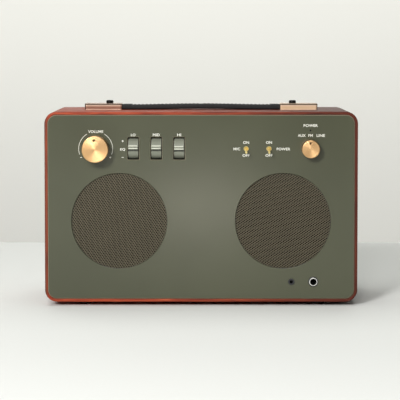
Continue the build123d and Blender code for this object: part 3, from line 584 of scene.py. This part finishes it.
def perforatedGrille(name, side, net, standsFor):
    # the template is repeated on every point of the net whose hole falls inside the opening
    first, second = (np.array(step) for step in net)
    points, triangles = holeTemplate(first, second)
    i, j = (k.ravel()[:, None] for k in np.meshgrid(np.arange(-60, 61), np.arange(-60, 61), indexing="ij"))
    centres = i * first + j * second
    centres = centres[np.hypot(centres[:, 0], centres[:, 1]) < grille["reach"]]
    flat = (centres[:, None] + points[None]).reshape(-1, 2)
    faces = (triangles[None] + len(points) * np.arange(len(centres))[:, None, None]).reshape(-1, 3)
    mesh = bpy.data.meshes.new(name)
    mesh.from_pydata(at(side * grille["x"] + flat[:, 0], grille["height"] + flat[:, 1], grille["front"]).tolist(),
                     [], faces.tolist())
    shape = bmesh.new()
    shape.from_mesh(mesh)
    bmesh.ops.remove_doubles(shape, verts=shape.verts, dist=2e-5)
    bmesh.ops.recalc_face_normals(shape, faces=shape.faces)
    shape.to_mesh(mesh)
    shape.free()
    mesh.materials.append(materials["grille_steel"])
    piece = bpy.data.objects.new(name, mesh)
    bpy.context.scene.collection.objects.link(piece)
    mesh.update()
    if mesh.polygons[0].normal.y > 0:
        mesh.flip_normals()
    wall = piece.modifiers.new("sheet", "SOLIDIFY")
    wall.thickness = grille["thickness"] * mm
    wall.offset = -1.0
    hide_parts(standsFor)
    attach(piece, "cabinet")
    # a plain black ring closes the edge, behind the panel; what shows of it round the grille is a dark ring standing in
    # for the shadow there
    angle = np.linspace(0, 2 * np.pi, 128, endpoint=False)[None]
    r = np.array([grille["border"], grille["edge"], grille["edge"], grille["border"]])[:, None]
    depth = grille["front"] + np.array([0.01, 0.01, 1, 1])[:, None] * grille["thickness"]
    ring = at(side * grille["x"] + r * np.sin(angle), grille["height"] + r * np.cos(angle), depth)
    fitted(name + "_border", surface(name + "_border", ring, wrapRows=True), "cabinet",
           materials["black_plate"])


perforatedGrille("left_perforated_grille", -1, grilleNets["left"], "left_grille")
perforatedGrille("right_perforated_grille", 1, grilleNets["right"], "right_grille")

# each cloth's rib, as waves per mm to the right and upwards
clothRibs = {-1: (0.1661, 0.0212), 1: (-0.0323, 0.1661)}
for name, side in (("left_speaker_cloth", -1), ("right_speaker_cloth", 1)):
    # a thin disc whose face dips 0.02 mm between its middle and its edge
    spread = np.concatenate([np.linspace(0, 54.9, 12), np.linspace(54.9, 0, 12)])
    sag = panelFace + np.concatenate([np.linspace(2.83, 2.81, 12), np.linspace(3.13, 3.15, 12)])
    cloth = fitted(name, turned(name, spread, sag, side * grille["x"], grille["height"], 96), "cabinet",
                   speakerCloth(name + "_weave", *clothRibs[side]), ["grille_cloths"])
print("grilles and cloths made")


# knobs

knobs = {
    "volume": {"x": -114.4, "height": 167.0, "radius": 14.5, "front": panelFace - 17.0,
               "dimple": (9.7, -4.5), "teeth": 90},
    "selector": {"x": 118.4, "height": 167.0, "radius": 9.9, "front": panelFace - 12.4,
                 "dimple": (6.4, 0.0), "teeth": 64},
}
knobCut = {"back": panelFace - 0.5, "chamfer": 0.8, "ringPitch": 0.42, "ringHeight": 0.036, "knurl": 0.16, "samples": 6,
           "pocket": 7.15, "pocketDepth": 5.0, "bore": 3.06}


def turnedKnob(name, knob, cut):
    # the face carries fine sine rings from the lathe and a round dimple, and the side a straight knurl
    edge = knob["radius"] - cut["chamfer"]
    faceR = np.linspace(0, edge, int(edge / cut["ringPitch"] * cut["samples"]))
    rings = -cut["ringHeight"] * (1 - np.cos(2 * np.pi * faceR / cut["ringPitch"])) / 2 * smoothStep(0.0, 0.6, faceR)
    sideDepth = np.linspace(knob["front"] + cut["chamfer"], cut["back"] - 0.4, 8)
    front = knob["front"] + cut["ringHeight"] + 0.004
    radius = np.concatenate([faceR, [edge + 0.25, edge + 0.55], np.full(8, knob["radius"]), [
        knob["radius"] - 0.4, cut["pocket"], cut["pocket"], cut["bore"], cut["bore"], 0.0]])
    depth = np.concatenate([front - rings - cut["ringHeight"], [front + 0.1, front + 0.35], sideDepth, [
        cut["back"], cut["back"], cut["back"] - cut["pocketDepth"], cut["back"] - cut["pocketDepth"],
        knob["front"] + 3.0, knob["front"] + 3.0]])
    segments = 4 * knob["teeth"]
    angle = np.linspace(0, 2 * np.pi, segments, endpoint=False)
    radiusGrid = np.repeat(radius[:, None], segments, 1)
    depthGrid = np.repeat(depth[:, None], segments, 1)
    tooth = np.abs(((angle * knob["teeth"] / (2 * np.pi)) % 1) - 0.5) * 2
    side = slice(len(faceR) + 2, len(faceR) + 10)
    taper = np.array([0.3, 1, 1, 1, 1, 1, 1, 0.3])[:, None]
    radiusGrid[side] -= cut["knurl"] * tooth[None, :] * taper
    reach, lean = knob["dimple"]
    dimpleX, dimpleZ = reach * math.sin(math.radians(lean)), reach * math.cos(math.radians(lean))
    x, z = radiusGrid * np.sin(angle), radiusGrid * np.cos(angle)
    away = np.hypot(x - dimpleX, z - dimpleZ)
    sunk = np.sqrt(np.clip(4.0 - away ** 2, 0, None)) - 1.3
    face = slice(0, len(faceR))
    depthGrid[face] += np.clip(sunk[face], 0, None)
    return turned(name, radiusGrid, depthGrid, knob["x"], knob["height"], segments)


for key, body in (("volume", "volume_dial"), ("selector", "selector_dial")):
    fitted(key + "_turned_knob", turnedKnob(key + "_turned_knob", knobs[key], knobCut), body,
           materials["brass_knob"], [key + "_knob"], sharp=38)
print("knobs made")


# equaliser rollers

rollers = {"xs": (-73.7, -48.7, -23.9), "height": 167.3, "axle": panelFace + 11.4, "radius": 12.6, "width": 11.0,
           "rib": 2.0, "ribMiddle": 1.3, "ribHalf": 2.3, "trench": 1.4, "highTurn": 3.0, "fineArc": 0.34}


def thumbRoller(name, x, turnDegrees):
    # a section across the wheel is swept round its axle; the rib and the trench are a height over the angle
    r, halfW = rollers["radius"], rollers["width"] / 2
    edge = rollers["fineArc"]
    fine = np.concatenate([np.linspace(-edge, edge, 181), np.linspace(edge, 2 * np.pi - edge, 150)[1:-1]])
    arc = (fine + np.pi) % (2 * np.pi) - np.pi
    up = arc * r
    fromRib = np.abs(up - rollers["ribMiddle"])
    # the rib is two half-round lines side by side, w from its middle, h (0.3 + 0.7 sqrt(1 - (2 w / half - 1)^2))
    dome = np.sqrt(np.clip(1 - (2 * fromRib / rollers["ribHalf"] - 1) ** 2, 0, 1))
    rise = rollers["rib"] * (0.3 + 0.7 * dome) * (fromRib < rollers["ribHalf"])
    lower = rollers["ribMiddle"] - rollers["ribHalf"]
    sunk = smoothStep(lower - 2.4, lower - 1.9, up) * (1 - smoothStep(lower - 0.15, lower + 0.02, up))
    rise -= rollers["trench"] * sunk
    # faint moulded lines on the tread, 0.05 mm deep and 0.9 mm apart
    tread = -0.05 * (0.5 - 0.5 * np.cos(2 * np.pi * up / 0.9)) * smoothStep(4.0, 4.6, np.abs(up))
    offsets = np.array([-halfW, -halfW, -halfW + 0.12, -halfW + 0.5, -halfW + 0.7, -halfW + 0.85,
                        halfW - 0.85, halfW - 0.7, halfW - 0.5, halfW - 0.12, halfW, halfW])
    radii = np.array([0, r - 0.5, r - 0.15, r, r, r, r, r, r, r - 0.15, r - 0.5, 0])
    ribShare = np.array([0, 0, 0, 0, 0.15, 1, 1, 0.15, 0, 0, 0, 0])
    treadShare = np.array([0, 0, 0, 1, 1, 1, 1, 1, 1, 0, 0, 0])
    grid = radii[None] + rise[:, None] * ribShare[None] + tread[:, None] * treadShare[None]
    angle = fine - math.radians(turnDegrees)
    points = at(x + offsets[None], rollers["height"] + grid * np.sin(angle)[:, None],
                rollers["axle"] - grid * np.cos(angle)[:, None])
    return surface(name, points, wrapRows=True, wrapCols=False, along=np.append(fine, fine[0] + 2 * np.pi) * r,
                   across=offsets)


for key, x, turnDegrees in zip(("low", "mid", "high"), rollers["xs"], (0.0, 0.0, rollers["highTurn"])):
    fitted("eq_" + key + "_roller", thumbRoller("eq_" + key + "_roller", x, turnDegrees), "eq_" + key,
           materials["grey_roller"], ["eq_" + key + "_wheel"], sharp=32)
print("rollers made")


# strap handle

strap = {"width": 20.0, "thickness": 5.5, "base": 0.05, "bow": 1.0, "end": 118.0, "corner": 1.5,
         "keeperStart": 77.4, "keeperEnd": 87.6, "capEdge": 88.5}


def strapSection(width, thickness, corner, steps=7):
    # a rounded oblong, given as offsets across the strap and up from its base
    quarter = np.linspace(0, np.pi / 2, steps)
    across = np.concatenate([np.cos(quarter + k * np.pi / 2) for k in range(4)]) * corner
    up = np.concatenate([np.sin(quarter + k * np.pi / 2) for k in range(4)]) * corner
    signs = np.repeat([[1, 1], [-1, 1], [-1, -1], [1, -1]], steps, axis=0)
    across += signs[:, 0] * (width / 2 - corner)
    up += signs[:, 1] * (thickness / 2 - corner) + thickness / 2
    # more points along the top and the underside, so that the crown can curve
    result = []
    for k in range(4):
        block = np.stack([across[k * steps:(k + 1) * steps], up[k * steps:(k + 1) * steps]], -1)
        nextPoint = np.array([across[((k + 1) * steps) % (4 * steps)], up[((k + 1) * steps) % (4 * steps)]])
        extra = np.linspace(0, 1, 8)[1:-1, None] if k % 2 == 0 else np.linspace(0, 1, 3)[1:-1, None]
        result += [block, block[-1] * (1 - extra) + nextPoint * extra]
    return np.concatenate(result)


def strapHeight(x):
    # the grip bows up in a cosine between its padded ends
    return strap["base"] + strap["bow"] * np.cos(np.clip(np.abs(x) / 78.0, 0, 1) * np.pi / 2) ** 2


def strapPiece(name, side, first, last, width, thickness, corner, crown, rows=90):
    # the section is carried along x, lifted by the bow, with a crown across its top
    section = strapSection(width, thickness, corner)
    x = np.linspace(first, last, rows)
    share = np.clip(section[:, 1] / thickness, 0, 1)
    bulge = crown * (1 - (section[:, 0] / (width / 2)) ** 2).clip(0) * share
    rise = strapHeight(x)[:, None] + (section[:, 1] + bulge)[None, :]
    points = np.stack(np.broadcast_arrays(
        side * x[:, None] * mm, handleLine + section[None, :, 0] * mm, deck + rise * mm), -1)
    return surface(name, points, wrapRows=False, wrapCols=True, capEnds=True)


def bendWithStrap(piece):
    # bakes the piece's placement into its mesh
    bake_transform(piece)


for side, word, standsFor in ((-1, "left", ["left_strap_end", "handle_grip"]), (1, "right", ["right_strap_end"])):
    half = fitted(word + "_strap_half", strapPiece(word + "_strap_half", side, strap["end"], 0.0, strap["width"],
                  strap["thickness"] - 0.5, strap["corner"], 0.5), "handle", materials["strap_leather"],
                  standsFor, sharp=50, ride=False)
    bendWithStrap(half)
print("strap made")

stitches = {"inset": 2.3, "length": 3.0, "gap": 4.4, "thread": 0.34, "lift": 0.08}


def stitchRows(name, side):
    # each stitch is a long ball of thread, repeated along both edges of the strap on its upper face
    polar = np.linspace(0, np.pi, 6)
    round_ = np.linspace(0, 2 * np.pi, 8, endpoint=False)
    ball = np.stack(np.broadcast_arrays(
        np.cos(polar)[:, None] * stitches["length"] / 2,
        np.sin(polar)[:, None] * np.cos(round_)[None] * stitches["thread"],
        np.sin(polar)[:, None] * np.sin(round_)[None] * stitches["thread"]), -1)
    x = np.arange(4.0, 78.0, stitches["gap"])
    along = np.concatenate([x, x])
    across = np.repeat([1, -1], len(x)) * (strap["width"] / 2 - stitches["inset"])
    crown = 0.5 * (1 - (across / (strap["width"] / 2)) ** 2)
    up = strapHeight(along) + strap["thickness"] - 0.5 + crown + stitches["lift"]
    centre = np.stack([side * along, across, up], -1)
    points = (centre[:, None, None] + ball[None]) * mm + np.array([0, handleLine, deck])
    quads = gridQuads(6, 8, False, True)[0]
    faces = (quads[None] + 48 * np.arange(len(centre))[:, None, None]).reshape(-1, 4)
    mesh = bpy.data.meshes.new(name)
    mesh.from_pydata(points.reshape(-1, 3).tolist(), [], faces.tolist())
    return mesh


for side, word in ((-1, "left"), (1, "right")):
    rows = fitted(word + "_strap_stitches", stitchRows(word + "_strap_stitches", side), "handle",
                  materials["strap_leather"], ride=False)
    bendWithStrap(rows)
    keeper = strapPiece(word + "_strap_keeper", side, strap["keeperEnd"], strap["keeperStart"],
                        20.9, 5.75, 1.7, 0.5, rows=24)
    loop = fitted(word + "_strap_keeper", keeper, "handle", materials["strap_leather"], sharp=50,
                  ride=False)
    bendWithStrap(loop)
print("stitches and keepers made")


# printing on the panel

printing = {"depth": panelFace, "ink": 0.03, "capHeight": 2.9, "dialRadius": 18.4, "dialLine": 0.42}
labels = [
    ("VOLUME", -114.3, 185.5, 16.3), ("LO", -73.7, 182.0, 5.0), ("MID", -48.7, 182.0, 7.4), ("HI", -23.9, 182.0, 4.2),
    ("+", -85.1, 175.3, 2.4), ("EQ", -85.1, 166.1, 5.4), ("-", -85.1, 157.5, 2.2),
    ("MIC", 38.6, 166.7, 7.4), ("ON", 48.7, 173.7, 6.4), ("OFF", 48.7, 159.7, 7.6),
    ("ON", 73.5, 173.7, 6.4), ("OFF", 73.5, 159.7, 7.6), ("POWER", 89.2, 166.6, 14.6),
    ("POWER", 118.7, 192.1, 15.5), ("AUX", 109.0, 181.3, 8.4), ("FM", 118.6, 181.3, 4.8), ("LINE", 129.6, 181.3, 9.0),
]


def panelInk():
    # off-white screen print with a slightly uneven film
    ink = Finish("panel_print", Specular_IOR_Level=0.35)
    film = ink.noise(ink.place(), 1800.0, 3.0)
    colour = ink.mixed(film * 0.6, rgb(222, 222, 212), rgb(246, 246, 238))
    return ink.feed(Base_Color=colour, Roughness=0.5 + film * 0.15, Normal=ink.bump(film, 0.00001, 0.5))


def lettering(name, text, x, height, width, capHeight=printing["capHeight"]):
    # the letters become a mesh, are scaled to their printed size and stood up on the panel
    curve = bpy.data.curves.new(name, "FONT")
    curve.body = text
    curve.size = 1.0
    curve.extrude = 0.5
    curve.resolution_u = 3
    curve.offset = 0.012
    holder = bpy.data.objects.new(name + "_curve", curve)
    bpy.context.scene.collection.objects.link(holder)
    bpy.context.view_layer.update()
    mesh = bpy.data.meshes.new_from_object(holder.evaluated_get(bpy.context.evaluated_depsgraph_get()))
    bpy.data.objects.remove(holder)
    mesh.name = name
    points = np.zeros(len(mesh.vertices) * 3)
    mesh.vertices.foreach_get("co", points)
    points = points.reshape(-1, 3)
    low, high = points.min(0), points.max(0)
    spanX = width / (high[0] - low[0])
    spanZ = capHeight / (high[1] - low[1]) if capHeight else spanX
    placed = at(x + (points[:, 0] - (low[0] + high[0]) / 2) * spanX,
                height + (points[:, 1] - (low[1] + high[1]) / 2) * spanZ,
                printing["depth"] - printing["ink"] * (points[:, 2] + 0.5))
    mesh.vertices.foreach_set("co", placed.ravel())
    mesh.materials.clear()
    return fitted(name, mesh, "cabinet", materials["print"], sharp=30)


def printedArc(name, first, last, radius, line, x, height):
    # a flat band bent round the knob, between two clock angles
    angle = np.radians(np.linspace(first, last, max(4, int(abs(last - first) / 2))))[:, None]
    r = np.array([radius - line / 2, radius + line / 2, radius + line / 2, radius - line / 2])[None]
    depth = printing["depth"] - np.array([0, 0, 1, 1])[None] * printing["ink"]
    points = at(x + r * np.sin(angle), height + r * np.cos(angle), depth + angle * 0)
    return fitted(name, surface(name, points, wrapRows=False, wrapCols=True, capEnds=True), "cabinet",
                  materials["print"], sharp=30)


materials["print"] = panelInk()
for index, (text, x, height, width) in enumerate(labels):
    lettering("print_%02d" % index, text, x, height, width,
              {"+": 2.4, "-": 0.5}.get(text, printing["capHeight"]))
for side, word in ((-1, "left"), (1, "right")):
    printedArc("dial_arc_" + word, side * 30.5, side * 110.0, printing["dialRadius"], printing["dialLine"],
               knobs["volume"]["x"], knobs["volume"]["height"])
    markX = knobs["volume"]["x"] + side * printing["dialRadius"] * math.sin(math.radians(121))
    markZ = knobs["volume"]["height"] + printing["dialRadius"] * math.cos(math.radians(121))
    lettering("dial_mark_" + word, "+" if side > 0 else "-", markX, markZ, 2.0, 2.0 if side > 0 else 0.5)
print("printing made,", len(labels), "labels")


# table top, far wall, camera and lights

studio = {"tableBack": 0.575, "edge": 0.02, "tableDrop": 0.12, "width": 6.0, "front": -3.2, "wall": 3.0,
          "wallLow": -1.2, "wallHigh": 2.6}


def stageSheet(name, y, z, pale, deep, width=studio["width"]):
    # a line of y and z carried from side to side, with a faint paper grain
    x = np.linspace(-width / 2, width / 2, 12)
    points = np.stack(np.broadcast_arrays(x[None, :], y[:, None], z[:, None]), -1)
    mesh = surface(name, points, wrapCols=False)
    mesh.shade_smooth()
    paper = Finish(name + "_paint", Roughness=0.85, Specular_IOR_Level=0.15)
    grain = paper.noise(paper.place(), 350.0, 3.0)
    paper.feed(Base_Color=paper.mixed(grain, deep, pale))
    mesh.materials.append(paper.material)
    sheet = bpy.data.objects.new(name, mesh)
    bpy.context.scene.collection.objects.link(sheet)


def softbox(name, place, target, width, height, power, colour=(1.0, 0.98, 0.95)):
    light = bpy.data.lights.new(name, "AREA")
    light.shape = "RECTANGLE"
    light.size = width
    light.size_y = height
    light.energy = power
    light.color = colour
    lamp = bpy.data.objects.new(name, light)
    bpy.context.scene.collection.objects.link(lamp)
    lamp.location = place
    lamp.rotation_euler = (Vector(target) - Vector(place)).to_track_quat("-Z", "Y").to_euler()
    return lamp


turn = np.linspace(0, np.pi / 2, 10)
edge = studio["edge"]
stageSheet("table_top", np.concatenate([np.linspace(studio["front"], studio["tableBack"] - edge * 2, 8),
                                        studio["tableBack"] - edge + edge * np.sin(turn), [studio["tableBack"]]]),
           np.concatenate([np.zeros(8), edge * (np.cos(turn) - 1), [-studio["tableDrop"]]]),
           rgb(230, 232, 231), rgb(225, 227, 225))
stageSheet("far_wall", np.full(12, studio["wall"]), np.linspace(studio["wallLow"], studio["wallHigh"], 12),
           rgb(235, 235, 230), rgb(230, 230, 225), 18.0)

camera = bpy.data.cameras.new("camera")
camera.lens = 159.96
camera.sensor_width = 36.0
camera.shift_y = -0.14
camera.clip_end = 30.0
seat = bpy.data.objects.new("camera", camera)
bpy.context.scene.collection.objects.link(seat)
seat.location = (-0.00128, rimPlane - 1.92346, 0.28401)
seat.rotation_euler = (math.pi / 2 - math.radians(3.196), 0, 0)
bpy.context.scene.camera = seat

lighting = {"keyDirection": (-0.42, -1.0, 0.48), "keyDistance": 3.2, "keySize": 0.62, "keyPower": 96.0,
            "stripDirection": (-0.06, -1.0, 0.45), "stripPower": 8.0, "glow": 0.20,
            "overhead": 33.0, "wallWash": 60.0, "air": 0.03}


def towards(direction, distance):
    return Vector((0.0, rimPlane, 0.12)) + Vector(direction).normalized() * distance


aim = (0, rimPlane, 0.12)
softbox("key", towards(lighting["keyDirection"], lighting["keyDistance"]), aim, lighting["keySize"],
        lighting["keySize"], lighting["keyPower"], (1.0, 0.985, 0.96))
softbox("strip", towards(lighting["stripDirection"], 2.1), aim, 0.16, 0.30, lighting["stripPower"], (1.0, 0.985, 0.96))
# a small low panel under the lens whose reflection is the soft bloom in the middle of the front
softbox("glow", (0.0, rimPlane - 0.85, 0.036), (0, rimPlane, 0.10), 0.16, 0.06, lighting["glow"], (1.0, 0.94, 0.80))
softbox("overhead", (-0.2, 0.4, 2.2), (0, 0.4, 0), 2.4, 1.8, lighting["overhead"], (1.0, 1.0, 0.95))
# faces straight back, so that none of it reaches the table
softbox("wall_wash", (0.0, 1.0, 1.1), (0, 3.0, 1.1), 6.0, 0.5, lighting["wallWash"], (1.0, 1.0, 0.98))

world = bpy.data.worlds.new("studio_air")
bpy.context.scene.world = world
world.use_nodes = True
world.node_tree.nodes["Background"].inputs["Color"].default_value = (1.0, 1.0, 0.97, 1.0)
world.node_tree.nodes["Background"].inputs["Strength"].default_value = lighting["air"]
bpy.context.scene.view_settings.view_transform = "Standard"
print("studio ready")
